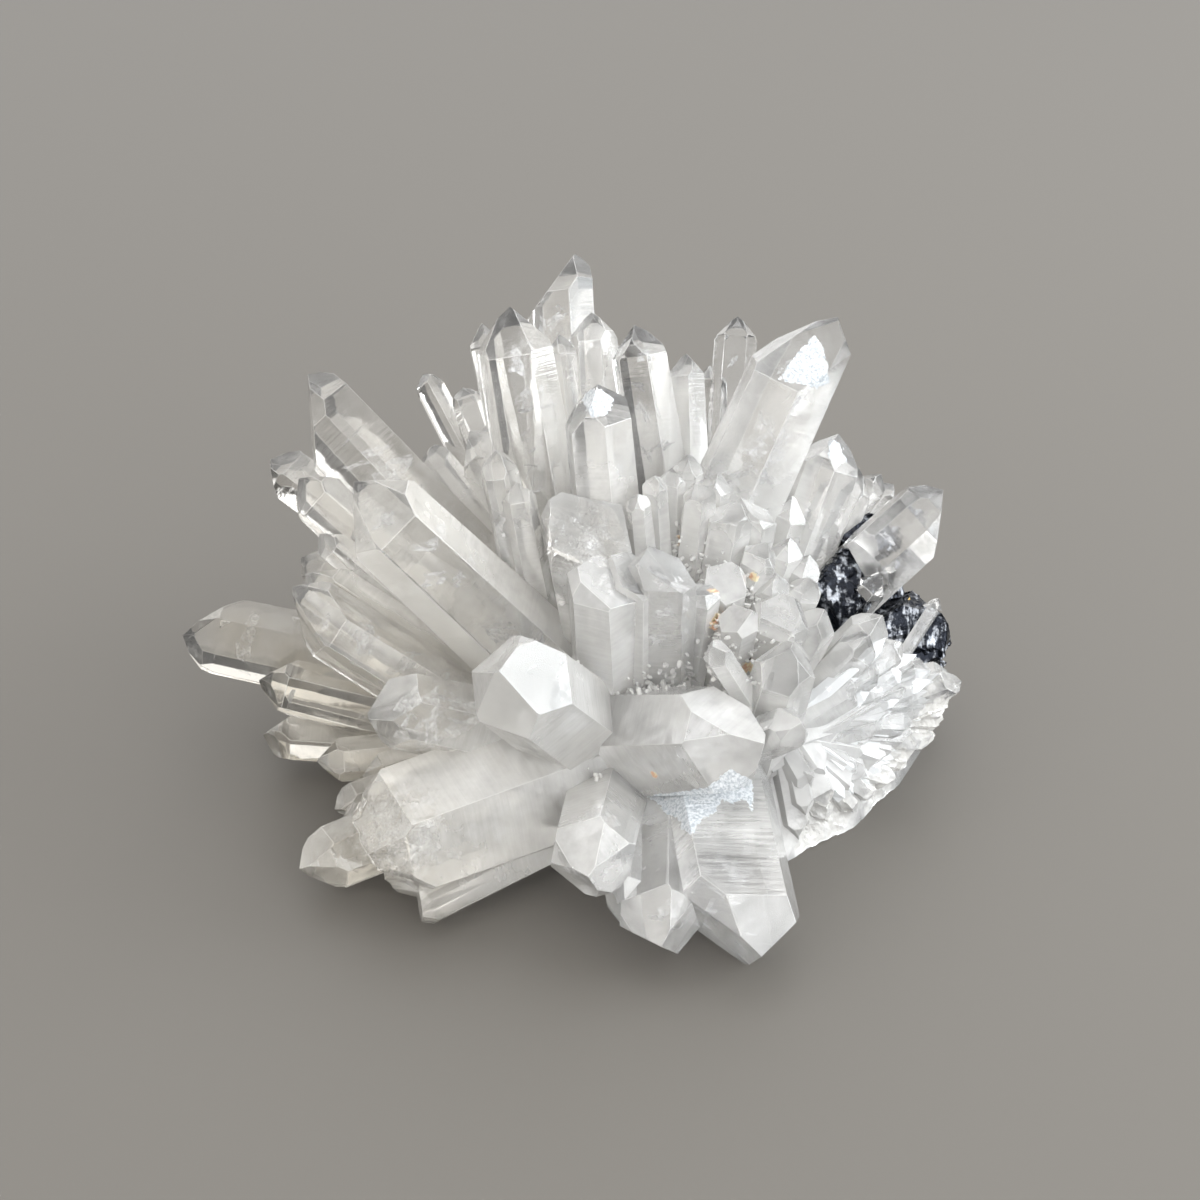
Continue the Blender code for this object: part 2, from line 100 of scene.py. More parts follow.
class Clarity(Enum):
    """How clear a crystal is at its root and at its point, from 0 (milky) to 1 (clear)."""

    GLASSY = (0.65, 0.95)
    CLEAR = (0.4, 0.85)
    HAZY = (0.3, 0.75)
    MILKY = (0.22, 0.55)
    SNOWY = (0.15, 0.4)


@dataclass(frozen=True)
class Spear:
    """One crystal that the photograph shows well.

    Attributes:
        tip: where its point is, as seen_at takes it.
        root: where its root is.
        radius: half its width, in millimetres.
        clarity: how clear it is.
        veils: how many inner flaws it holds.
    """

    tip: tuple[float, float, float]
    root: tuple[float, float, float]
    radius: float
    clarity: Clarity
    veils: int


SPEARS = {
    "upper left": Spear((-45.4, 31.4, -8), (-10.5, -6.3, -12), 6.3, Clarity.CLEAR, 14),
    "behind main": Spear((-45.0, 17.9, -2), (-20, -4, -6), 4.2, Clarity.HAZY, 6),
    "main": Spear((-37.2, 16.7, 22), (-8.2, -10.2, 4), 6.1, Clarity.CLEAR, 14),
    "left clear": Spear((-62.2, -4.2, -10), (-18, -13.5, -12), 5.6, Clarity.GLASSY, 2),
    "left blunt": Spear((-46.6, 0.2, 12), (-17, -18.5, 4), 5.4, Clarity.CLEAR, 9),
    "left low": Spear((-50.7, -12.0, -2), (-20, -19.5, -6), 4.3, Clarity.CLEAR, 5),
    "left front": Spear((-35.2, -15.4, 24), (-9, -21, 8), 5.5, Clarity.HAZY, 18),
    "left foot": Spear((-44.6, -40.4, 20), (-16, -29, 8), 4.5, Clarity.GLASSY, 5),
    "broken milky": Spear((-39.4, -38.6, 26), (-1.5, -24.8, 9), 9.5, Clarity.MILKY, 36),
    "low front": Spear((-1.8, -41.2, 37), (1.4, -28.5, 10), 5.6, Clarity.MILKY, 3),
    "end on": Spear((-14.6, -11.0, 41), (-1.5, -20.5, 6), 6.6, Clarity.SNOWY, 5),
    "block left": Spear((0.2, 6.2, 33), (1.6, -18, 4), 4.8, Clarity.SNOWY, 18),
    "block right": Spear((9.4, 7.8, 31), (8.6, -16, 4), 4.5, Clarity.MILKY, 18),
    "front milky": Spear((23.6, -20.8, 33), (-3.5, -21.5, 4), 7.1, Clarity.SNOWY, 30),
    "big front": Spear((21.4, -53.4, 37), (15.8, -28, 12), 8.5, Clarity.HAZY, 14),
    "front low": Spear((9.2, -52.0, 35), (9.2, -31, 12), 5.7, Clarity.HAZY, 8),
    "tall": Spear((-13.8, 43.4, 6), (-6.4, 0, -2), 5.6, Clarity.CLEAR, 16),
    "top": Spear((-6.3, 51.4, -16), (-4.1, 6, -14), 5.6, Clarity.CLEAR, 12),
    "right of tall": Spear((5.2, 40.9, 0), (10.4, 8, -6), 3.9, Clarity.GLASSY, 8),
    "centre": Spear((-0.8, 32.2, 15), (2.2, 0, 3), 4.45, Clarity.CLEAR, 8),
    "thin clear": Spear((20.6, 42.2, -14), (18.2, 10, -14), 3.3, Clarity.GLASSY, 5),
    "upper right": Spear((33.0, 42.8, 8), (15.0, 3.6, -5), 6.3, Clarity.HAZY, 26),
    "right": Spear((52.2, 15.6, -3), (26.5, -7.5, -10), 5.4, Clarity.HAZY, 5),
    "over the ore": Spear((42.2, 3.5, 0), (30, -11, -4), 2.3, Clarity.GLASSY, 2),
    "broken sparkling": Spear((-3.4, 16.6, 22), (1, -6, 3), 6.8, Clarity.MILKY, 20),
}


class Shading:
    """Short words for building the nodes of a material or of a Geometry Nodes tree."""

    def __init__(self, tree: bpy.types.NodeTree) -> None:
        """Keeps the tree that the nodes go in."""
        self.tree = tree

    def node(self, kind: str, **settings: object) -> bpy.types.Node:
        """A new node with these settings."""
        made = self.tree.nodes.new(kind)
        for key, value in settings.items():
            setattr(made, key, value)
        return made

    def link(self, source: Socket, target: Socket) -> None:
        """Joins two sockets."""
        self.tree.links.new(source, target)

    def feed(self, target: Socket, value: object) -> None:
        """Sets a socket to a number, or links it where value is a socket."""
        if isinstance(value, Socket):
            self.link(value, target)
        else:
            target.default_value = value

    def math(self, operation: str, first: object, second: object, clamp: bool = False) -> Socket:
        """One Math node on numbers or sockets; clamp keeps its result from 0 to 1."""
        made = self.node("ShaderNodeMath", operation=operation, use_clamp=clamp)
        self.feed(made.inputs[0], first)
        self.feed(made.inputs[1], second)
        return made.outputs[0]

    def plus(self, first: object, second: object) -> Socket:
        """The sum of two numbers or sockets."""
        return self.math("ADD", first, second)

    def minus(self, first: object, second: object) -> Socket:
        """The first less the second."""
        return self.math("SUBTRACT", first, second)

    def times(self, first: object, second: object) -> Socket:
        """The product of two numbers or sockets."""
        return self.math("MULTIPLY", first, second)

    def clamped(self, value: object) -> Socket:
        """value kept from 0 to 1."""
        return self.math("MULTIPLY", value, 1.0, clamp=True)

    def vector(self, operation: str, first: object, second: object) -> Socket:
        """One Vector Math node; SCALE takes a vector and a number."""
        made = self.node("ShaderNodeVectorMath", operation=operation)
        self.feed(made.inputs[0], first)
        self.feed(made.inputs["Scale"] if operation == "SCALE" else made.inputs[1], second)
        return made.outputs[0]

    def length(self, vector: Socket) -> Socket:
        """The length of a vector."""
        made = self.node("ShaderNodeVectorMath", operation="LENGTH")
        self.link(vector, made.inputs[0])
        return made.outputs["Value"]

    def random(self, low: object, high: object, seed: object) -> Socket:
        """A random number, or a random vector where low is a tuple, in a Geometry Nodes tree."""
        whole = isinstance(low, tuple)
        made = self.node("FunctionNodeRandomValue", data_type="FLOAT_VECTOR" if whole else "FLOAT")
        self.feed(made.inputs[0 if whole else 2], low)
        self.feed(made.inputs[1 if whole else 3], high)
        self.feed(made.inputs["Seed"], seed)
        return made.outputs[0 if whole else 1]

    def attribute(self, name: str) -> Socket:
        """The mesh attribute of this name, as a number."""
        return self.node("ShaderNodeAttribute", attribute_name=name).outputs["Fac"]

    def place(self) -> Socket:
        """Object coordinates."""
        return self.node("ShaderNodeTexCoord").outputs["Object"]

    def stretched(self, source: Socket, scale: tuple[float, float, float]) -> Socket:
        """A vector scaled along each axis."""
        made = self.node("ShaderNodeMapping")
        self.link(source, made.inputs["Vector"])
        made.inputs["Scale"].default_value = scale
        return made.outputs[0]

    def noise(self, vector: Socket, cell: float, detail: float = 3.0, rough: float = 0.5) -> Socket:
        """Noise from 0 to 1 whose cells are about this many metres across."""
        made = self.node("ShaderNodeTexNoise")
        self.link(vector, made.inputs["Vector"])
        made.inputs["Scale"].default_value = 1 / cell
        made.inputs["Detail"].default_value = detail
        made.inputs["Roughness"].default_value = rough
        return made.outputs["Fac"]

    def ranged(self, value: object, low: float, high: float, start: float = 0.0, end: float = 1.0) -> Socket:
        """value taken from the range low to high to the range start to end, and held there."""
        made = self.node("ShaderNodeMapRange", clamp=True, interpolation_type="SMOOTHSTEP")
        self.feed(made.inputs["Value"], value)
        for key, number in (("From Min", low), ("From Max", high), ("To Min", start), ("To Max", end)):
            made.inputs[key].default_value = number
        return made.outputs["Result"]

    def blend(self, share: object, first: object, second: object) -> Socket:
        """A colour between two colours."""
        made = self.node("ShaderNodeMix", data_type="RGBA")
        self.feed(made.inputs["Factor"], share)
        self.feed(made.inputs["A"], first)
        self.feed(made.inputs["B"], second)
        return made.outputs["Result"]

    def bump(self, height: Socket, distance: float, strength: object = 1.0, under: object = None) -> Socket:
        """A bumped normal.

        Args:
            height: the height from 0 to 1.
            distance: what a height of 1 stands for, in metres.
            strength: a number or a socket.
            under: the normal of another bump that this one goes on.

        Returns:
            The normal's socket.
        """
        made = self.node("ShaderNodeBump")
        self.link(height, made.inputs["Height"])
        made.inputs["Distance"].default_value = distance
        self.feed(made.inputs["Strength"], strength)
        if under is not None:
            self.link(under, made.inputs["Normal"])
        return made.outputs["Normal"]


def shade(name: str) -> tuple[bpy.types.Material, Shading, bpy.types.Node]:
    """A new material, the words that build its nodes, and its Principled shader."""
    made = bpy.data.materials.new(name)
    made.use_nodes = True
    return made, Shading(made.node_tree), made.node_tree.nodes["Principled BSDF"]


@dataclass(frozen=True)
class QuartzFinish:
    """Quartz that goes from milky roots to clear points.

    The mesh gives it these attributes: clear, shift (milkier listed facets are a painted glow of light
    shining through), frost (frosty patches that also paint a highlight), stain, dark, smoke (painted shade:
    warmer and darker on the left and in the deep gaps), worn, prism and facet, and the growth UV map in
    millimetres, with V along the crystal. A name that ends in cell is the size of a pattern, and one that
    ends in height is how far it stands out, both in metres.
    """

    name: str = "quartz"
    index: float = 1.544
    clear_colour: tuple[float, ...] = (1.0, 1.0, 1.0, 1.0)
    milky_colour: tuple[float, ...] = (0.985, 0.98, 0.965, 1.0)
    # Painted shade colour: a warm, darker beige for the left side and the deep gaps
    painted_shade_colour: tuple[float, ...] = (0.87, 0.82, 0.72, 1.0)
    # Frosty colours, light and dark grains, which also paint a highlight where the facets catch the light
    frost_highlight_colour: tuple[float, ...] = (0.74, 0.77, 0.8, 1.0)
    frost_highlight_dark: tuple[float, ...] = (0.4, 0.44, 0.48, 1.0)
    dark_colour: tuple[float, ...] = (0.03, 0.025, 0.02, 1.0)
    rusty_colour: tuple[float, ...] = (0.6, 0.27, 0.12, 1.0)
    ochre_colour: tuple[float, ...] = (0.8, 0.66, 0.36, 1.0)
    glass_share: tuple[float, float] = (0.55, 0.98)
    roughness: tuple[float, float] = (0.2, 0.02)
    cloud_cell: float = 0.006
    wisp_cell: float = 0.002
    wave_cell: float = 0.0035
    wave_height: float = 0.00008
    line_scale: tuple[float, float, float] = (0.1, 1.7, 1.0)
    line_height: float = 0.0004
    ragged_cell: float = 0.0009
    sugar_cell: float = 0.00042
    grain_cell: float = 0.0003
    grain_height: float = 0.00012

    def material(self) -> bpy.types.Material:
        """Builds the material."""
        made, s, shader = shade(self.name)
        place = s.place()
        clear = s.attribute("clear")

        cloud = s.noise(place, self.cloud_cell, detail=2)
        wisps = s.noise(place, self.wisp_cell, detail=3, rough=0.6)
        cloudy = s.plus(s.times(s.minus(cloud, 0.5), 0.9), s.times(s.minus(wisps, 0.5), 0.7))
        clarity = s.plus(clear, s.times(cloudy, s.ranged(clear, 0.1, 0.7, 0.15, 0.45)))
        growth = s.node("ShaderNodeUVMap", uv_map="growth").outputs[0]
        lines = s.noise(s.stretched(growth, self.line_scale), 1.0, detail=2, rough=0.65)
        prism = s.attribute("prism")
        striped = s.times(s.minus(lines, 0.5), s.times(prism, 1.3))
        clarity = s.math("ADD", clarity, s.plus(s.attribute("shift"), striped), clamp=True)
        ragged = s.noise(place, self.ragged_cell, detail=3, rough=0.7)
        grains = s.noise(place, self.sugar_cell, detail=2, rough=0.7)
        # Frosty patches: a sugary, less clear surface whose whiteness is also a painted highlight
        frost = s.ranged(s.plus(s.attribute("frost"), s.minus(ragged, 0.5)), 0.47, 0.53)
        clarity = s.times(clarity, s.minus(1.0, s.times(s.attribute("worn"), 0.5)))

        stain = s.ranged(s.times(s.attribute("stain"), s.plus(grains, 0.15)), 0.36, 0.55, 0.0, 0.85)
        dark = s.ranged(s.times(s.attribute("dark"), s.plus(grains, 0.3)), 0.42, 0.5)
        clean = s.minus(1.0, s.times(s.math("MAXIMUM", stain, dark), 0.9))
        outside_frost_highlight = s.minus(1.0, s.times(frost, 0.9))
        glass = s.times(s.ranged(clarity, 0.0, 1.0, *self.glass_share), s.times(clean, outside_frost_highlight))
        s.link(glass, shader.inputs["Transmission Weight"])

        body = s.blend(clarity, self.milky_colour, self.clear_colour)
        # Painted shade: warmer and darker on the left and in the deep gaps
        body = s.blend(s.clamped(s.attribute("smoke")), body, self.painted_shade_colour)
        # The frosty colour, which is partly a painted highlight
        sugar_highlight = s.blend(s.ranged(grains, 0.36, 0.62), self.frost_highlight_dark, self.frost_highlight_colour)
        earth = s.blend(s.ranged(ragged, 0.42, 0.55), self.rusty_colour, self.ochre_colour)
        body = s.blend(stain, s.blend(frost, body, sugar_highlight), earth)
        s.link(s.blend(dark, body, self.dark_colour), shader.inputs["Base Color"])

        rough = s.plus(s.ranged(clarity, 0.0, 1.0, *self.roughness), s.times(s.attribute("facet"), 0.05))
        s.link(s.plus(rough, s.times(frost, 0.16)), shader.inputs["Roughness"])
        shader.inputs["IOR"].default_value = self.index
        normal = s.bump(s.noise(place, self.wave_cell, detail=1), self.wave_height)
        normal = s.bump(lines, self.line_height, strength=prism, under=normal)
        grain = s.noise(place, self.grain_cell, detail=1)
        normal = s.bump(grain, self.grain_height, strength=frost, under=normal)
        s.link(normal, shader.inputs["Normal"])
        return made


@dataclass(frozen=True)
class VeilFinish:
    """Thin inner cracks and veils that catch the light."""

    colour: tuple[float, ...] = (0.97, 0.98, 1.0, 1.0)
    cover: tuple[float, float] = (0.02, 0.55)

    def material(self) -> bpy.types.Material:
        """Builds the material."""
        made, s, shader = shade("veil")
        cloud = s.noise(s.place(), 0.0016, detail=5, rough=0.7)
        s.link(s.ranged(cloud, 0.4, 0.66, *self.cover), shader.inputs["Alpha"])
        shader.inputs["Base Color"].default_value = self.colour
        shader.inputs["Roughness"].default_value = 0.3
        return made


@dataclass(frozen=True)
class OreFinish:
    """Dark blue-grey metallic ore with a brighter, bladed break; the mesh gives it the attribute brass."""

    dark: tuple[float, ...] = (0.012, 0.014, 0.02, 1.0)
    bright: tuple[float, ...] = (0.42, 0.44, 0.48, 1.0)
    brassy: tuple[float, ...] = (0.62, 0.45, 0.16, 1.0)

    def material(self) -> bpy.types.Material:
        """Builds the material."""
        made, s, shader = shade("ore")
        place = s.place()
        patches = s.noise(place, 0.0022, detail=4, rough=0.65)
        blades = s.noise(s.stretched(place, (3.5, 1.0, 0.8)), 0.0026, detail=3)
        tone = s.ranged(s.plus(patches, s.times(blades, 0.6)), 0.8, 0.98)
        colour = s.blend(tone, self.dark, self.bright)
        speck = s.times(s.attribute("brass"), s.plus(s.noise(place, 0.0005), 0.4))
        brass = s.ranged(speck, 0.4, 0.5)
        s.link(s.blend(brass, colour, self.brassy), shader.inputs["Base Color"])
        shader.inputs["Metallic"].default_value = 0.85
        s.link(s.ranged(patches, 0.3, 0.7, 0.18, 0.5), shader.inputs["Roughness"])
        normal = s.bump(blades, 0.00025)
        normal = s.bump(s.noise(place, 0.0005, detail=3), 0.0001, under=normal)
        s.link(normal, shader.inputs["Normal"])
        return made


@dataclass(frozen=True)
class Break:
    """A place where crystals are broken, or where they grew with a stepped, uneven face.

    Attributes:
        centre: where it is, as seen_at takes it.
        radius: how far it spreads, in millimetres.
        depth: how deep its chips are, in millimetres.
        chip: how wide a chip is, in millimetres.
    """

    centre: tuple[float, float, float]
    radius: float
    depth: float
    chip: float

    @cached_property
    def place(self) -> Vector:
        """Its centre in the frame's metres."""
        return seen_at(*self.centre)

    def depth_at(self, point: Vector) -> float:
        """How deep the quartz is chipped here, in metres: sharp-rimmed shells, and smaller ones."""
        share = min(1.0, 2.5 * (1 - (point - self.place).length / (self.radius * MM)))
        if share <= 0:
            return 0.0
        found = 0.0
        for chip, part in ((self.chip, 0.68), (self.chip * 0.43, 0.32)):
            far, cells = noise.voronoi(point / (chip * MM) + Vector((chip, 2 * chip, 0)))
            uneven = 0.65 + 0.35 * noise.cell(cells[0] * 7.3)
            found += part * uneven * max(0.0, 1 - 1.5 * far[0] ** 2)
        return self.depth * MM * found * share


@dataclass(frozen=True)
class FrostHighlightPatch:
    """A frosty, sugary patch that faces the viewer, whose whiteness is also a painted highlight.

    Attributes:
        outline: its corners as they are seen: millimetres right of the view's middle and above it.
        reach: how far from its middle it can lie, in millimetres.
        soft: how wide its ragged rim is, in millimetres.
    """

    outline: tuple[tuple[float, float], ...]
    reach: float = 5.0
    soft: float = 1.6

    @property
    def middle(self) -> tuple[float, float]:
        """The middle of its corners."""
        return tuple(float(value) for value in np.mean(self.outline, axis=0))

    def depth_in(self, places: np.ndarray) -> np.ndarray:
        """How far inside the outline each place is, in millimetres, and below 0 outside it."""
        nearest = np.full(len(places), np.inf)
        inside = np.zeros(len(places), bool)
        for start, end in zip(self.outline, self.outline[1:] + self.outline[:1]):
            way = np.subtract(end, start)
            share = np.clip((places - start) @ way / (way @ way), 0, 1)
            nearest = np.minimum(nearest, np.linalg.norm(places - start - share[:, None] * way, axis=1))
            if start[1] != end[1]:
                crossed = (start[1] > places[:, 1]) != (end[1] > places[:, 1])
                inside ^= crossed & (places[:, 0] < start[0] + (places[:, 1] - start[1]) * way[0] / way[1])
        return np.where(inside, nearest, -nearest)


BREAKS = [
    Break((-35.0, -36.0, 27), 9.5, 1.3, 3.4),
    Break((-28.0, -28.5, 30), 6.5, 0.7, 2.6),
    Break((-3.4, 10.5, 21), 8.5, 1.6, 3.1),
    Break((50.5, -17.5, 0), 6.5, 0.9, 2.0),
    Break((43.0, -27.0, 0), 6.5, 0.9, 2.2),
    Break((33.0, -33.0, 6), 7.0, 0.9, 2.4),
]


def new_object(name: str, data: bpy.types.ID) -> bpy.types.Object:
    """A new object in the scene."""
    made = bpy.data.objects.new(name, data)
    bpy.context.scene.collection.objects.link(made)
    return made


def made_from(body: bmesh.types.BMesh, name: str) -> bpy.types.Object:
    """A new object with the body's mesh; the body is freed."""
    made = new_object(name, bpy.data.meshes.new(name))
    body.to_mesh(made.data)
    body.free()
    LOG.info("%s: %d faces", name, len(made.data.polygons))
    return made


def merged_copy(name: str) -> bmesh.types.BMesh:
    """A copy of a CAD solid's mesh, with its loose triangles joined."""
    body = bmesh.new()
    body.from_mesh(bpy.data.objects[name].data)
    bmesh.ops.remove_doubles(body, verts=body.verts, dist=2e-6)
    return body


def put_in_order(body: bmesh.types.BMesh) -> None:
    """Orders a mesh by place, because a bevel's own order can differ from run to run."""
    for items in (body.verts, body.edges, body.faces):
        items.index_update()
        places = [sorted(vert.co[:] for vert in getattr(item, "verts", [item])) for item in items]
        ranks = {index: rank for rank, index in enumerate(sorted(range(len(places)), key=places.__getitem__))}
        items.sort(key=lambda item: ranks[item.index])


def refine(
    body: bmesh.types.BMesh, cell: float, spots: list[tuple[Vector, float]] | None = None, rounds: int = 7
) -> None:
    """Splits long edges until the mesh is close enough.

    Args:
        body: the mesh.
        cell: the longest edge that stays whole, in metres.
        spots: the middles and radii of the places to split, in metres; without them it is split all over.
        rounds: how many times an edge can be split.
    """
    for _ in range(rounds):
        edges = [edge for edge in body.edges if edge.calc_length() > cell]
        if spots is not None:
            body.verts.index_update()
            wanted = near_spots(np.array([vert.co for vert in body.verts]), spots) > 0
            edges = [edge for edge in edges if any(wanted[vert.index] for vert in edge.verts)]
        if not edges:
            break
        bmesh.ops.subdivide_edges(body, edges=edges, cuts=1)
        bmesh.ops.triangulate(body, faces=[face for face in body.faces if len(face.verts) > 3])


@dataclass(frozen=True)
class Facet:
    """One flat face of a crystal.

    Attributes:
        along: the way in which the crystal grew, along the face.
        across: the way across it, along the face.
        prism: 1 on a long face, and 0 on others.
        worn: 1 on an edge that is worn back, and 0 on others.
    """

    along: Vector
    across: Vector
    prism: float
    worn: float


@dataclass
class QuartzBody:
    """All the quartz of the CAD model, with softened edges and a close mesh that holds its finish.

    Attributes:
        edge_round: how far an edge is worn back, in metres.
        cell: the longest edge of the close mesh, in metres.
        chip_cell: the same where the quartz is broken or stained.
        frost_highlight_cell: the same on the frosty patches, which also carry a painted highlight.
        root_reach: up to this distance from the core the quartz is milky, in metres.
        tip_reach: past this distance it is as clear as it gets.
        smallest_edge: an edge that ends on a shorter one than this stays sharp, in metres.
        sky_ways: how many ways are tried to find how open a point lies.
        sky_reach: how far away a crystal still hides the sky, in metres.
        window: how much clearer the clear spots are.
        snow: how much milkier the snowy spots are.
        lines: how strong the growth lines are, on long faces and on the lined facets.
    """

    edge_round: float = 0.00013
    cell: float = 0.0030
    chip_cell: float = 0.0005
    frost_highlight_cell: float = 0.0009
    root_reach: float = 0.026
    tip_reach: float = 0.05
    smallest_edge: float = 0.0005
    sky_ways: int = 10
    sky_reach: float = 0.018
    window: float = 0.2
    snow: float = 0.4
    lines: tuple[float, float] = (0.12, 0.55)

    def build(self) -> bpy.types.Object:
        """Makes the piece that stands for the CAD quartz."""
        body = merged_copy("quartz_crystals")
        flat = math.radians(0.6)
        bmesh.ops.dissolve_limit(
            body, angle_limit=flat, verts=body.verts, edges=body.edges, use_dissolve_boundaries=False
        )
        self.tree = BVHTree.FromBMesh(body)
        self._round_edges(body)
        bmesh.ops.triangulate(body, faces=body.faces)
        put_in_order(body)
        facets = self._facets(body)
        self.skin = BVHTree.FromBMesh(body)
        self.numbers = [face[body.faces.layers.int["facet_number"]] for face in body.faces]
        refine(body, self.cell)
        # The frosty patches, which also carry a painted highlight, get a closer mesh
        frosted_highlights = [(self._seen(*patch.middle)[0], 0.8 * patch.reach * MM) for patch in FROSTED_HIGHLIGHTS]
        refine(body, self.frost_highlight_cell, frosted_highlights)
        broken = [(spot.place, 0.8 * spot.radius * MM) for spot in BREAKS]
        refine(body, self.chip_cell, broken + self._found(STAINS + DARK_SPOTS))
        self._break_up(body)
        put_in_order(body)
        self._growth_map(body, facets)
        made = made_from(body, "quartz")
        self._attributes(made.data, facets)
        return made

    def _seen(self, across: float, up: float) -> tuple[Vector, int]:
        """What the photograph's view shows at this place, in millimetres right of its middle and above it.

        Returns:
            The point on the quartz, and its facet's number.
        """
        place, face = seen_on(self.skin, across, up)
        return place, self.numbers[face]

    def _found(self, spots: list[tuple[float, float, float]]) -> list[tuple[Vector, float]]:
        """The point and radius in metres of spots given as they are seen: across, up and radius."""
        return [(self._seen(across, up)[0], radius * MM) for across, up, radius in spots]

    def _round_edges(self, body: bmesh.types.BMesh) -> None:
        """Wears back the outer edges that have room for it."""

        def roomy(vert: bmesh.types.BMVert) -> bool:
            return all(edge.calc_length() > self.smallest_edge for edge in vert.link_edges)

        edges = [
            edge
            for edge in body.edges
            if edge.is_manifold
            and edge.calc_face_angle_signed(0) > math.radians(18)
            and all(roomy(vert) and vert.co.z > 0.0005 for vert in edge.verts)
        ]
        bmesh.ops.bevel(
            body, geom=edges, offset=self.edge_round, offset_type="OFFSET", segments=1, profile=0.5,
            affect="EDGES", clamp_overlap=True,
        )
        LOG.info("quartz: %d edges worn back", len(edges))

    def _facets(self, body: bmesh.types.BMesh) -> list[Facet]:
        """Numbers the flat facets, and finds the way each one grew."""
        body.faces.ensure_lookup_table()
        number = body.faces.layers.int.new("facet_number")
        seen = set()
        facets = []
        for start in body.faces:
            if start in seen:
                continue
            group, front = [], [start]
            seen.add(start)
            while front:
                face = front.pop()
                group.append(face)
                for edge in face.edges:
                    for other in edge.link_faces:
                        if other not in seen and other.normal.dot(start.normal) > 0.99995:
                            seen.add(other)
                            front.append(other)
            for face in group:
                face[number] = len(facets)
            facets.append(self._grown(group, start.normal))
        return facets

    @staticmethod
    def _grown(group: list[bmesh.types.BMFace], normal: Vector) -> Facet:
        """How one facet grew: its longest border edge runs along the crystal if the facet is long."""
        inner = set(group)
        border = {edge for face in group for edge in face.edges if not inner.issuperset(edge.link_faces)}
        ends = [sorted(vert.co[:] for vert in edge.verts) for edge in border]
        low, high = max(ends, key=lambda pair: (round(math.dist(*pair), 7), pair))
        along = (Vector(high) - Vector(low)).normalized()
        middle = sum((face.calc_center_median() * face.calc_area() for face in group), Vector())
        middle /= max(sum(face.calc_area() for face in group), 1e-12)
        if along.dot(middle - CORE_CENTRE) < 0:
            along = -along
        across = along.cross(normal)
        spread = [[vert.co.dot(way) for face in group for vert in face.verts] for way in (along, across)]
        length, width = (max(values) - min(values) for values in spread)
        long_face = length > 1.5 * width and length > 0.006
        return Facet(along, across, float(long_face), float(width < 0.0003))

    @staticmethod
    def _break_up(body: bmesh.types.BMesh) -> None:
        """Cuts chips into the quartz where it is broken, and keeps it above its flat underside."""
        body.normal_update()
        moved = []
        for vert in body.verts:
            depth = max(spot.depth_at(vert.co) for spot in BREAKS)
            if depth > 0:
                moved.append((vert, vert.co - vert.normal * depth))
        for vert, place in moved:
            vert.co = place
        for vert in body.verts:
            vert.co.z = max(vert.co.z, 0.0)
        LOG.info("quartz: %d points chipped", len(moved))

    @staticmethod
    def _growth_map(body: bmesh.types.BMesh, facets: list[Facet]) -> None:
        """Writes the growth UV map: U across each facet and V along it, in millimetres."""
        number = body.faces.layers.int["facet_number"]
        layer = body.loops.layers.uv.new("growth")
        for face in body.faces:
            facet = facets[face[number]]
            for loop in face.loops:
                point = loop.vert.co / MM
                loop[layer].uv = (point.dot(facet.across), point.dot(facet.along))

    def _attributes(self, mesh: bpy.types.Mesh, facets: list[Facet]) -> None:
        """Writes what the finish and the druse read."""
        points = vectors(mesh.vertices, "co")
        open_share = self._openness(points, vectors(mesh.vertex_normals, "vector"))

        def spotted(spots: list[tuple[float, float, float]]) -> np.ndarray:
            return near_spots(points, self._found(spots))

        # Frosty patches, whose mask also paints a highlight
        write(mesh, "frost", np.max([self._frost_highlight(patch, mesh) for patch in FROSTED_HIGHLIGHTS], axis=0))
        changed = self.window * spotted(CLEAR_SPOTS) - self.snow * spotted(SNOWY_SPOTS)
        write(mesh, "clear", self._clearness(points, open_share) + changed)
        # Painted shade: warmer and darker on the left, in the deep gaps and at the listed shaded spots
        write(mesh, "smoke", np.maximum(self._painted_shade(points, open_share), spotted(PAINTED_SHADE_SPOTS)))
        write(mesh, "stain", spotted(STAINS))
        write(mesh, "dark", spotted(DARK_SPOTS))
        crevice = np.clip((0.5 - open_share) / 0.25, 0, 1) * (points[:, 2] > 0.003)
        write(mesh, "druse", crevice * spotted(DRUSE_SPOTS))

        numbers = np.empty(len(mesh.polygons), np.int32)
        mesh.attributes["facet_number"].data.foreach_get("value", numbers)
        chance = np.random.default_rng(4)
        roughness = chance.random(len(facets))
        prism = self.lines[0] * np.array([facet.prism for facet in facets])
        prism[[self._seen(*place)[1] for place in LINED_FACETS]] = self.lines[1]
        shift = chance.uniform(-0.1, 0.1, len(facets))
        # Listed facets made clearer or milkier; the milkier ones paint the glow of light that shines through
        # them
        for across, up, change in FACET_LOOKS:
            shift[self._seen(across, up)[1]] = change
        worn = np.array([facet.worn for facet in facets])
        for name, values in (("facet", roughness), ("prism", prism), ("worn", worn), ("shift", shift)):
            write(mesh, name, values[numbers], "FACE")

    def _frost_highlight(self, patch: FrostHighlightPatch, mesh: bpy.types.Mesh) -> np.ndarray:
        """How far inside the highlight-painted patch each vertex is: 0.5 on its outline, and 0 where it is far
        or faces away.
        """
        points = vectors(mesh.vertices, "co")
        near = np.linalg.norm(points - np.array(self._seen(*patch.middle)[0]), axis=1) < patch.reach * MM
        facing = vectors(mesh.vertex_normals, "vector") @ np.array(TOWARDS) > 0.05
        return np.clip(0.5 + patch.depth_in(places_seen(points)) / patch.soft, 0, 1) * near * facing

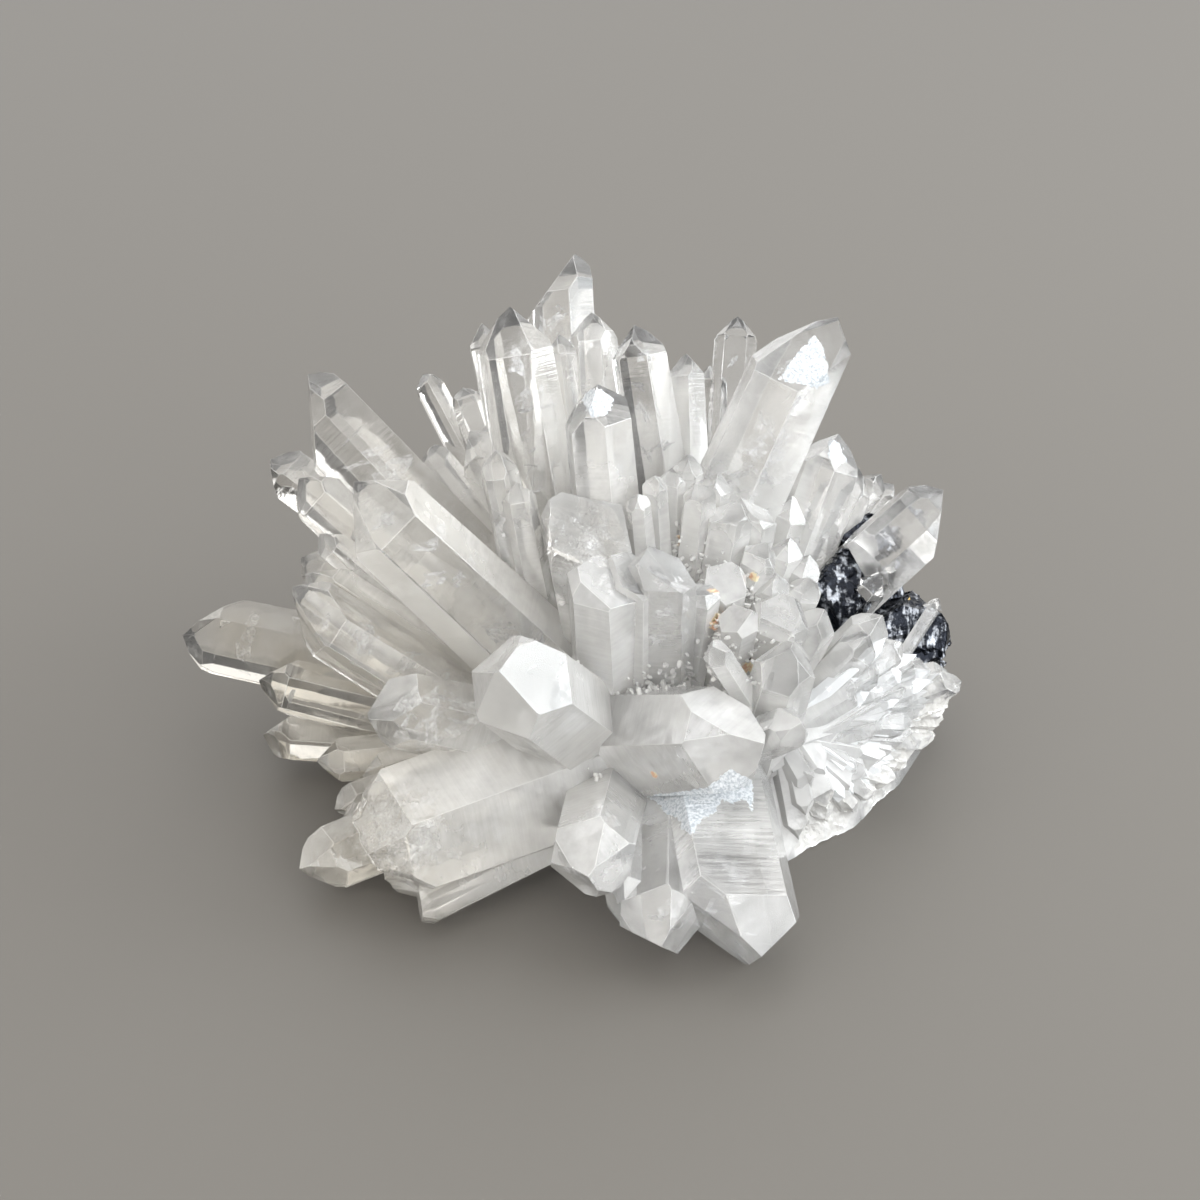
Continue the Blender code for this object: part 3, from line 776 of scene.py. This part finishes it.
    def _openness(self, points: np.ndarray, normals: np.ndarray) -> np.ndarray:
        """The share of the sky over each point that no crystal hides."""
        chance = random.Random(2)
        ways = []
        while len(ways) < self.sky_ways:
            way = Vector([chance.uniform(-1, 1) for _ in range(3)])
            if 0.2 < way.length < 1:
                ways.append(way.normalized())
        found = np.empty(len(points))
        for index, (point, normal) in enumerate(zip(points, normals)):
            normal = Vector(normal)
            start = Vector(point) + normal * 2e-4
            over = [(way + normal * 1.05).normalized() for way in ways]
            free = sum(self.tree.ray_cast(start, way, self.sky_reach)[0] is None for way in over)
            found[index] = free / len(ways)
        return found

    def _clearness(self, points: np.ndarray, open_share: np.ndarray) -> np.ndarray:
        """How clear the quartz is at each point, from the spears and, elsewhere, from how open it lies."""
        reach = np.linalg.norm(points - np.array(CORE_CENTRE), axis=1)
        depth = np.clip((reach - self.root_reach) / (self.tip_reach - self.root_reach), 0, 1)
        found = 0.08 + 0.5 * depth * open_share + 0.22 * open_share**2
        for spear in SPEARS.values():
            tip, root = seen_at(*spear.tip), seen_at(*spear.root)
            axis = np.array(tip - root)
            length = np.linalg.norm(axis)
            axis /= length
            offset = points - np.array(root)
            along = offset @ axis
            away = np.linalg.norm(offset - along[:, None] * axis, axis=1)
            inside = np.clip(1.35 - away / (spear.radius * MM * 1.05), 0, 0.2) * 5
            inside *= (along > -0.004) & (along < length + 0.006)
            share = np.clip(along / length, 0, 1) ** 1.3
            low, high = spear.clarity.value
            found = found * (1 - inside) + (low + (high - low) * share) * inside
        return found

    @staticmethod
    def _painted_shade(points: np.ndarray, open_share: np.ndarray) -> np.ndarray:
        """Painted shade: how much warmer and darker the quartz is made on the left, most of all low down, and
        in the deep gaps.
        """
        left = np.clip((0.01 - points[:, 0]) / 0.04, 0, 1)
        low = np.clip((0.035 - points[:, 2]) / 0.03, 0, 1)
        return np.clip(left * (0.25 + 0.4 * low) + 0.15 * (1 - open_share) ** 2, 0, 0.75)


def seen_on(skin: BVHTree, across: float, up: float) -> tuple[Vector, int]:
    """What the photograph's view shows of a surface at this place.

    Args:
        skin: the surface.
        across: millimetres right of the view's middle.
        up: millimetres above it.

    Returns:
        The point on the surface, and its face's index.
    """
    eye, beyond = seen_at(across, up, 120), seen_at(across, up, -120)
    place, _, face, _ = skin.ray_cast(eye, beyond - eye)
    if place is None:
        raise ValueError(f"nothing is seen at {across}, {up}")
    return place, face


def vectors(items: bpy.types.bpy_prop_collection, key: str) -> np.ndarray:
    """One vector of each item of a mesh, one row each."""
    found = np.empty(len(items) * 3)
    items.foreach_get(key, found)
    return found.reshape(-1, 3)


def write(mesh: bpy.types.Mesh, name: str, values: np.ndarray, domain: str = "POINT") -> None:
    """Writes a float attribute."""
    layer = mesh.attributes.new(name, "FLOAT", domain)
    layer.data.foreach_set("value", values.astype(np.float32))


def near_spots(points: np.ndarray, spots: list[tuple[Vector, float]]) -> np.ndarray:
    """1 at the middle of each spot, down to 0 at its edge.

    Args:
        points: in metres.
        spots: each spot's middle and radius, in metres.

    Returns:
        One value per point.
    """
    found = np.zeros(len(points))
    for middle, radius in spots:
        far = np.linalg.norm(points - np.array(middle), axis=1) / radius
        found = np.maximum(found, np.clip(1.25 - far, 0, 1))
    return found


# As the photograph shows them: millimetres right of the view's middle and above it, and a radius
STAINS = [
    (11.9, 9.0, 1.3), (23.0, 3.5, 1.4), (17.3, -3.0, 2.4), (21.8, -10.2, 2.8), (17.0, 1.4, 1.5),
    (8.1, -26.2, 1.2),
]
DARK_SPOTS = [(8.9, -13.4, 0.6), (22.6, -8.8, 0.55)]
DRUSE_SPOTS = [
    (9.0, -12.8, 7), (20, -6, 8), (25.5, 1.5, 8), (33, -20, 6), (-0.5, -24.5, 3), (15, 6, 7), (-2, -14, 5),
]

# Where the quartz is frosty with a painted highlight, has painted shade, or is clearer or milkier
FROSTED_HIGHLIGHTS = [
    FrostHighlightPatch((
        (32.2, 39.8), (33.5, 38.0), (34.5, 32.5), (32.6, 31.8), (26.8, 33.0), (29.5, 36.9),
    ), reach=8.0),
    FrostHighlightPatch(((-3.6, 31.3), (0.0, 31.7), (1.9, 30.4), (1.3, 27.9), (-1.1, 27.2), (-2.2, 29.2))),
    FrostHighlightPatch(((34.3, 24.2), (35.8, 24.0), (36.9, 20.8), (35.1, 19.8), (34.2, 21.9))),
    FrostHighlightPatch((
        (6.8, -29.5), (16.1, -28.1), (19.5, -25.3), (22.9, -27.0), (22.9, -32.1), (22.0, -29.9),
        (19.5, -30.6), (18.4, -29.8), (17.0, -32.1), (15.6, -32.6), (13.7, -35.2), (12.2, -34.4),
        (11.9, -32.9), (9.6, -32.0), (8.9, -30.6),
    ), reach=11.0),
]
# Spots of painted shade on the left crystals
PAINTED_SHADE_SPOTS = [(-54.0, -5.2, 8.0), (-47.0, -8.0, 6.0)]
CLEAR_SPOTS = [
    (19.6, -38.9, 5.0), (13.3, -40.5, 3.0), (23.6, 21.8, 4.0), (-6.7, 35.0, 2.6), (4.3, 34.5, 2.4),
    (20.0, 33.5, 2.6), (-20.0, 2.5, 6.0), (-38.0, 24.0, 6.0),
]
SNOWY_SPOTS = [(43.0, -27.0, 8.0), (33.0, -33.0, 8.0), (50.0, -18.5, 6.0)]

# Facets that stand out: millimetres right of the view's middle and above it
LINED_FACETS = [(19.6, -38.9), (13.3, -40.5)]

# The same, and how much clearer (or, below 0, milkier) the facet is than its crystal; a milkier one is whiter,
# a painted glow of light that shines through it
FACET_LOOKS = [
    (-27.3, -0.3, -0.7), (-21.0, 3.9, 0.2), (-21.0, 9.3, -0.25), (-13.5, 25.5, 0.3), (-8.2, -11.2, 0.15),
    (-15.0, -14.6, -0.3), (0.0, 6.0, 0.1), (9.8, 4.5, 0.1), (45.0, 9.0, 0.1), (-35.6, 12.0, -0.4),
]


@dataclass
class InnerVeils:
    """Thin cracks and cloudy sheets inside the crystals.

    Attributes:
        thickness: how thick each is, in metres.
        largest: the share of the crystal's radius that the widest one has.
        least_room: one nearer the surface than this is left out, in metres.
    """

    thickness: float = 0.00002
    largest: float = 0.85
    least_room: float = 0.0007
    seed: int = 7

    def build(self, skin: BVHTree) -> bpy.types.Object:
        """Makes all the veils as one piece of thin closed flakes.

        Args:
            skin: the quartz, inside which they stay.

        Returns:
            The veils.
        """
        chance = random.Random(self.seed)
        body = bmesh.new()
        for spear in SPEARS.values():
            tip, root = seen_at(*spear.tip), seen_at(*spear.root)
            axis = (tip - root).normalized()
            side = axis.orthogonal().normalized()
            turn = axis.cross(side)
            radius = spear.radius * MM
            for _ in range(spear.veils):
                share = chance.uniform(0.1, 0.88)
                angle, away = chance.uniform(0, math.tau), radius * chance.uniform(0, 0.45)
                middle = root.lerp(tip, share) + (side * math.cos(angle) + turn * math.sin(angle)) * away
                lean = axis + Vector([chance.uniform(-1.3, 1.3) for _ in range(3)])
                size = radius * self.largest * chance.uniform(0.25, 1.0)
                near, outward, _, room = skin.find_nearest(middle)
                if outward.dot(middle - near) > 0 or room < self.least_room:
                    continue
                self._flake(body, middle, lean.normalized(), min(size, 0.93 * room), chance)
        return made_from(body, "inner_veils")

    def _flake(
        self, body: bmesh.types.BMesh, middle: Vector, normal: Vector, size: float, chance: random.Random
    ) -> None:
        """Adds one ragged thin flake."""
        side = normal.orthogonal().normalized()
        turn = normal.cross(side)
        count = chance.randint(7, 11)
        stretch = chance.uniform(0.4, 1.0)
        rims = []
        for lift in (-0.5, 0.5):
            rim = []
            for k in range(count):
                angle = math.tau * k / count
                reach = size * (0.72 + 0.28 * math.sin(k * 2.7 + size * 9000))
                point = side * math.cos(angle) * reach + turn * math.sin(angle) * reach * stretch
                rim.append(body.verts.new(middle + point + normal * self.thickness * lift))
            rims.append(rim)
        low, high = rims
        body.faces.new(list(reversed(low)))
        body.faces.new(high)
        for k in range(count):
            after = (k + 1) % count
            body.faces.new((low[k], low[after], high[after], high[k]))


# The inputs of the Geometry Nodes trees that give a crystal its size
LEAST, GREATEST = "Least Half Width", "Greatest Half Width"


def finish_tree(s: Shading, instances: Socket, material: bpy.types.Material) -> None:
    """Ends a Geometry Nodes tree: real instances, flat faces and a material."""
    real = s.node("GeometryNodeRealizeInstances")
    s.link(instances, real.inputs["Geometry"])
    flat = s.node("GeometryNodeSetShadeSmooth")
    flat.inputs["Shade Smooth"].default_value = False
    s.link(real.outputs["Geometry"], flat.inputs["Geometry"])
    painted = s.node("GeometryNodeSetMaterial")
    painted.inputs["Material"].default_value = material
    s.link(flat.outputs["Geometry"], painted.inputs["Geometry"])
    s.link(painted.outputs["Geometry"], s.node("NodeGroupOutput").inputs["Geometry"])


def new_tree(name: str, **inputs: str) -> bpy.types.NodeTree:
    """A Geometry Nodes tree with the inputs that both trees share, and others.

    Args:
        name: the tree's name.
        inputs: each further input's name, and the kind of socket that it is.

    Returns:
        The tree, with no nodes.
    """
    tree = bpy.data.node_groups.new(name, "GeometryNodeTree")
    kinds = {"Geometry": "Geometry", **inputs, LEAST: "Float", GREATEST: "Float", "Seed": "Int"}
    for label, kind in kinds.items():
        tree.interface.new_socket(label, in_out="INPUT", socket_type=f"NodeSocket{kind}")
    tree.interface.new_socket("Geometry", in_out="OUTPUT", socket_type="NodeSocketGeometry")
    return tree


def grown_on(mesh: bpy.types.Mesh, tree: bpy.types.NodeTree, values: dict[str, object]) -> bpy.types.Object:
    """Runs a Geometry Nodes tree on a mesh.

    Args:
        mesh: what it starts from.
        tree: the tree, which gives the result its name.
        values: the value of each named input.

    Returns:
        A new object with the result as a plain mesh.
    """
    made = new_object(tree.name, mesh)
    modifier = made.modifiers.new(tree.name, "NODES")
    modifier.node_group = tree
    for item in tree.interface.items_tree:
        if item.in_out == "INPUT" and item.name in values:
            modifier[item.identifier] = values[item.name]
    graph = bpy.context.evaluated_depsgraph_get()
    result = bpy.data.meshes.new_from_object(made.evaluated_get(graph))
    made.modifiers.clear()
    made.data = result
    LOG.info("%s: %d faces", made.name, len(result.polygons))
    return made


def set_on_points(
    s: Shading, points: Socket, crystal: Socket, way: Socket, width: Socket, length: Socket
) -> Socket:
    """The nodes that set a crystal on each point, along its way and with its width and length."""
    aligned = s.node("FunctionNodeAlignRotationToVector", axis="Z")
    s.link(way, aligned.inputs["Vector"])
    size = s.node("ShaderNodeCombineXYZ")
    for socket, value in zip(size.inputs, (width, width, length)):
        s.link(value, socket)
    placed = s.node("GeometryNodeInstanceOnPoints")
    links = {"Points": points, "Instance": crystal, "Rotation": aligned.outputs[0], "Scale": size.outputs[0]}
    for name, source in links.items():
        s.link(source, placed.inputs[name])
    return placed.outputs["Instances"]


def small_point(s: Shading, taper: float, point: float) -> Socket:
    """The nodes of one small six-sided crystal along +Z, of half width 1.

    Args:
        s: the Geometry Nodes tree.
        taper: how wide it still is where its point starts.
        point: the point's length over the shaft's, which is 1.

    Returns:
        The crystal's mesh.
    """
    joined = s.node("GeometryNodeJoinGeometry")
    for top, bottom, depth, lift in ((taper, 1.0, 1.0, 0.0), (0.0, taper, point, 1.0)):
        cone = s.node("GeometryNodeMeshCone", fill_type="NGON")
        cone.inputs["Vertices"].default_value = 6
        cone.inputs["Radius Top"].default_value = top
        cone.inputs["Radius Bottom"].default_value = bottom
        cone.inputs["Depth"].default_value = depth
        lifted = s.node("GeometryNodeTransform")
        lifted.inputs["Translation"].default_value = (0, 0, lift)
        s.link(cone.outputs["Mesh"], lifted.inputs["Geometry"])
        s.link(lifted.outputs["Geometry"], joined.inputs[0])
    return joined.outputs[0]


@dataclass
class Druse:
    """Small quartz points that crust the gaps between the large crystals.

    Attributes:
        density: points per square metre where the crust is thickest.
        width: the least and greatest half width, in metres.
        slender: the least and greatest length over width.
        wander: how far a point leans from the face that it grows on.
    """

    density: float = 1.6e6
    width: tuple[float, float] = (0.00012, 0.00038)
    slender: tuple[float, float] = (0.9, 2.2)
    wander: float = 0.4
    seed: int = 12

    def build(self, ground: bpy.types.Object, material: bpy.types.Material) -> bpy.types.Object:
        """Grows the crust on the ground piece's druse attribute.

        Args:
            ground: the quartz.
            material: what the small points are made of.

        Returns:
            The crust as one plain mesh.
        """
        values = {"Density": self.density, LEAST: self.width[0], GREATEST: self.width[1], "Seed": self.seed}
        return grown_on(ground.data.copy(), self._tree(material), values)

    def _tree(self, material: bpy.types.Material) -> bpy.types.NodeTree:
        """The Geometry Nodes that scatter and shape the small points."""
        tree = new_tree("druse", Density="Float")
        s = Shading(tree)
        given = s.node("NodeGroupInput").outputs

        scatter = s.node("GeometryNodeDistributePointsOnFaces")
        crust = s.node("GeometryNodeInputNamedAttribute", data_type="FLOAT")
        crust.inputs["Name"].default_value = "druse"
        s.link(given["Geometry"], scatter.inputs["Mesh"])
        thick = s.math("POWER", crust.outputs["Attribute"], 2.0)
        s.link(s.times(thick, given["Density"]), scatter.inputs["Density"])
        s.link(given["Seed"], scatter.inputs["Seed"])

        wander = s.random((-self.wander,) * 3, (self.wander,) * 3, given["Seed"])
        way = s.vector("ADD", scatter.outputs["Normal"], wander)
        width = s.random(given[LEAST], given[GREATEST], given["Seed"])
        length = s.times(width, s.random(*self.slender, given["Seed"]))
        crystal = small_point(s, taper=0.85, point=0.45)
        placed = set_on_points(s, scatter.outputs["Points"], crystal, way, width, length)
        finish_tree(s, placed, material)
        return tree


@dataclass
class FanNeedles:
    """The slender crystals that fill the fan on the right, side by side.

    Attributes:
        root: where they spread from, as seen_at takes it.
        rim: the line that their points reach.
        rows: for each row its share of the way to the rim, how far it is raised, and its count.
        width: the least and greatest half width, in metres.
        length: each one's least and greatest share of the way from the root to its place on the rim.
        stray: how far its root strays, in metres.
    """

    root: tuple[float, float, float] = (28, -19, 9)
    rim: tuple[tuple[float, float, float], ...] = (
        (43.5, -5.0, 8), (48.5, -8.5, 3), (52.0, -11.4, 1), (51.6, -16.0, 0), (50.0, -20.4, -3),
        (46.5, -24.4, -4), (42.0, -28.2, 0), (37.0, -31.8, 4),
    )
    rows: tuple[tuple[float, float, int], ...] = (
        (0.97, 0.6, 50), (0.88, 2.4, 40), (0.74, 3.8, 28), (0.56, 4.4, 16),
    )
    width: tuple[float, float] = (0.0006, 0.0017)
    length: tuple[float, float] = (0.5, 0.72)
    stray: float = 0.0016
    seed: int = 21

    def build(self, material: bpy.types.Material) -> bpy.types.Object:
        """Makes the needles of every row.

        Args:
            material: what they are made of.

        Returns:
            The needles as one plain mesh.
        """
        guide = bpy.data.meshes.new("fan_needles")
        points = []
        for share, raised, count in self.rows:
            for k in range(count):
                place = k / (count - 1) * (len(self.rim) - 1)
                first = min(int(place), len(self.rim) - 2)
                rim = Vector(self.rim[first]).lerp(Vector(self.rim[first + 1]), place - first)
                points.append(seen_at(*(Vector(self.root).lerp(rim, share) + Vector((0, 0, raised)))))
        guide.from_pydata(points, [], [])
        root, (least, greatest) = tuple(seen_at(*self.root)), self.width
        values = {"Root": root, LEAST: least, GREATEST: greatest, "Seed": self.seed}
        return grown_on(guide, self._tree(material), values)

    def _tree(self, material: bpy.types.Material) -> bpy.types.NodeTree:
        """The Geometry Nodes that set one needle from the root to near each guide point."""
        tree = new_tree("fan_needles", Root="Vector")
        s = Shading(tree)
        given = s.node("NodeGroupInput").outputs

        stray = s.random((-self.stray,) * 3, (self.stray,) * 3, given["Seed"])
        root = s.vector("ADD", given["Root"], stray)
        way = s.vector("SUBTRACT", s.node("GeometryNodeInputPosition").outputs[0], root)
        length = s.times(s.length(way), s.random(*self.length, given["Seed"]))
        width = s.random(given[LEAST], given[GREATEST], given["Seed"])
        crystal = small_point(s, taper=0.8, point=0.16)
        shifted = s.node("GeometryNodeTranslateInstances")
        shifted.inputs["Local Space"].default_value = False
        s.link(set_on_points(s, given["Geometry"], crystal, way, width, length), shifted.inputs["Instances"])
        s.link(s.vector("SCALE", way, -0.8), shifted.inputs["Translation"])
        finish_tree(s, shifted.outputs["Instances"], material)
        return tree


@dataclass
class OreLump:
    """The dark ore, with the stepped break that its CAD solid is too plain for.

    Attributes:
        cell: the longest edge of its close mesh, in metres.
        step: how deep the break's steps are, in metres.
        brassy: the speck of brassy colour, as the photograph shows it: across, up and radius in millimetres.
    """

    cell: float = 0.0009
    step: float = 0.0011
    brassy: tuple[float, float, float] = (46.2, 0.75, 1.1)

    def build(self) -> bpy.types.Object:
        """Makes the piece that stands for the CAD ore."""
        body = merged_copy("dark_ore")
        refine(body, self.cell, rounds=6)
        body.normal_update()
        speck = seen_on(BVHTree.FromBMesh(body), *self.brassy[:2])[0], self.brassy[2] * MM
        for vert in body.verts:
            rough = noise.cell(vert.co * 420 + Vector((3, 1, 7)))
            fine = noise.cell(vert.co * 900)
            vert.co -= vert.normal * self.step * (0.15 + 0.6 * abs(rough) + 0.25 * abs(fine))
        made = made_from(body, "ore")
        write(made.data, "brass", near_spots(vectors(made.data.vertices, "co"), [speck]))
        return made


@dataclass
class Studio:
    """The floor, the lights and the camera.

    Attributes:
        floor_side: the floor's side, in metres.
        floor_colour: its colour.
        sky_colour: the colour of the light from all sides.
        sky_strength: how bright that is.
    """

    floor_side: float = 4.0
    floor_colour: tuple[float, ...] = (0.123, 0.115, 0.103, 1.0)
    sky_colour: tuple[float, ...] = (0.91, 0.905, 0.895, 1.0)
    sky_strength: float = 1.55

    def build(self) -> None:
        """Makes them all."""
        self._floor()
        self._lights()
        self._camera()
        scene = bpy.context.scene
        scene.cycles.use_denoising = True
        scene.cycles.max_bounces = 7
        scene.cycles.transmission_bounces = 7
        scene.cycles.diffuse_bounces = 2
        scene.cycles.glossy_bounces = 2
        scene.cycles.transparent_max_bounces = 6
        scene.view_settings.view_transform = "Standard"

    def _floor(self) -> None:
        """A plain grey-brown floor."""
        half = self.floor_side / 2
        mesh = bpy.data.meshes.new("floor")
        corners = [(x * half, y * half, 0) for x, y in ((-1, -1), (1, -1), (1, 1), (-1, 1))]
        mesh.from_pydata(corners, [], [(0, 1, 2, 3)])
        floor = new_object("floor", mesh)
        made, _, shader = shade("floor")
        shader.inputs["Base Color"].default_value = self.floor_colour
        shader.inputs["Roughness"].default_value = 0.55
        mesh.materials.append(made)

    def _lights(self) -> None:
        """Soft light from the right and the front right, and weaker light from above and the front left."""
        for name, place, power, side, colour in (
            ("overhead", (0.2, 0.35, 0.8), 1.6, 0.9, (1.0, 0.99, 0.97)),
            ("right", (0.75, 0.05, 0.3), 5, 0.5, (0.92, 0.97, 1.0)),
            ("fill", (-0.65, -0.65, 0.42), 1.5, 0.6, (1.0, 0.93, 0.82)),
            ("front right", (0.5, -0.7, 0.4), 4, 0.6, (0.96, 0.98, 1.0)),
        ):
            light = bpy.data.lights.new(name, "AREA")
            light.energy, light.size, light.color = power, side, colour
            lamp = new_object(name, light)
            lamp.location = place
            lamp.rotation_euler = (-Vector(place)).to_track_quat("-Z", "Y").to_euler()
        world = bpy.data.worlds.new("studio")
        world.use_nodes = True
        background = world.node_tree.nodes["Background"]
        background.inputs["Color"].default_value = self.sky_colour
        background.inputs["Strength"].default_value = self.sky_strength
        bpy.context.scene.world = world

    @staticmethod
    def _camera() -> None:
        """The photograph's view."""
        lens = bpy.data.cameras.new("camera")
        lens.sensor_width = 36
        lens.lens = lens.sensor_width * VIEW_DISTANCE / VIEW_WIDTH
        lens.clip_start = 0.01
        camera = new_object("camera", lens)
        target = (Vector((0, 0, VIEW_HEIGHT)) - FOOTPRINT_CENTRE) * MM
        camera.location = target + TOWARDS * VIEW_DISTANCE * MM
        camera.rotation_euler = (-TOWARDS).to_track_quat("-Z", "Y").to_euler()
        bpy.context.scene.camera = camera


def main() -> None:
    """Builds and dresses each piece."""
    logging.basicConfig(level=logging.INFO)
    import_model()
    Studio().build()

    druse_finish = QuartzFinish("druse", glass_share=(0.5, 0.75), roughness=(0.1, 0.03))
    # The needles' blue-white milky colour paints the cool light that falls on the right side
    needle_finish = QuartzFinish("fan needles", milky_colour=(0.96, 0.98, 1.0, 1.0), glass_share=(0.3, 0.5))
    crystals = QuartzBody()
    quartz = crystals.build()
    quartz.data.materials.append(QuartzFinish().material())
    druse = Druse().build(quartz, druse_finish.material())
    needles = FanNeedles().build(needle_finish.material())
    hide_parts("quartz_crystals")
    veils = InnerVeils().build(crystals.tree)
    veils.data.materials.append(VeilFinish().material())
    ore = OreLump().build()
    ore.data.materials.append(OreFinish().material())
    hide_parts("dark_ore")
    dressed = ((quartz, "quartz"), (druse, "quartz"), (needles, "quartz"), (veils, "quartz"), (ore, "ore"))
    for piece, slot in dressed:
        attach(piece, "root")


if __name__ == "__main__":
    main()
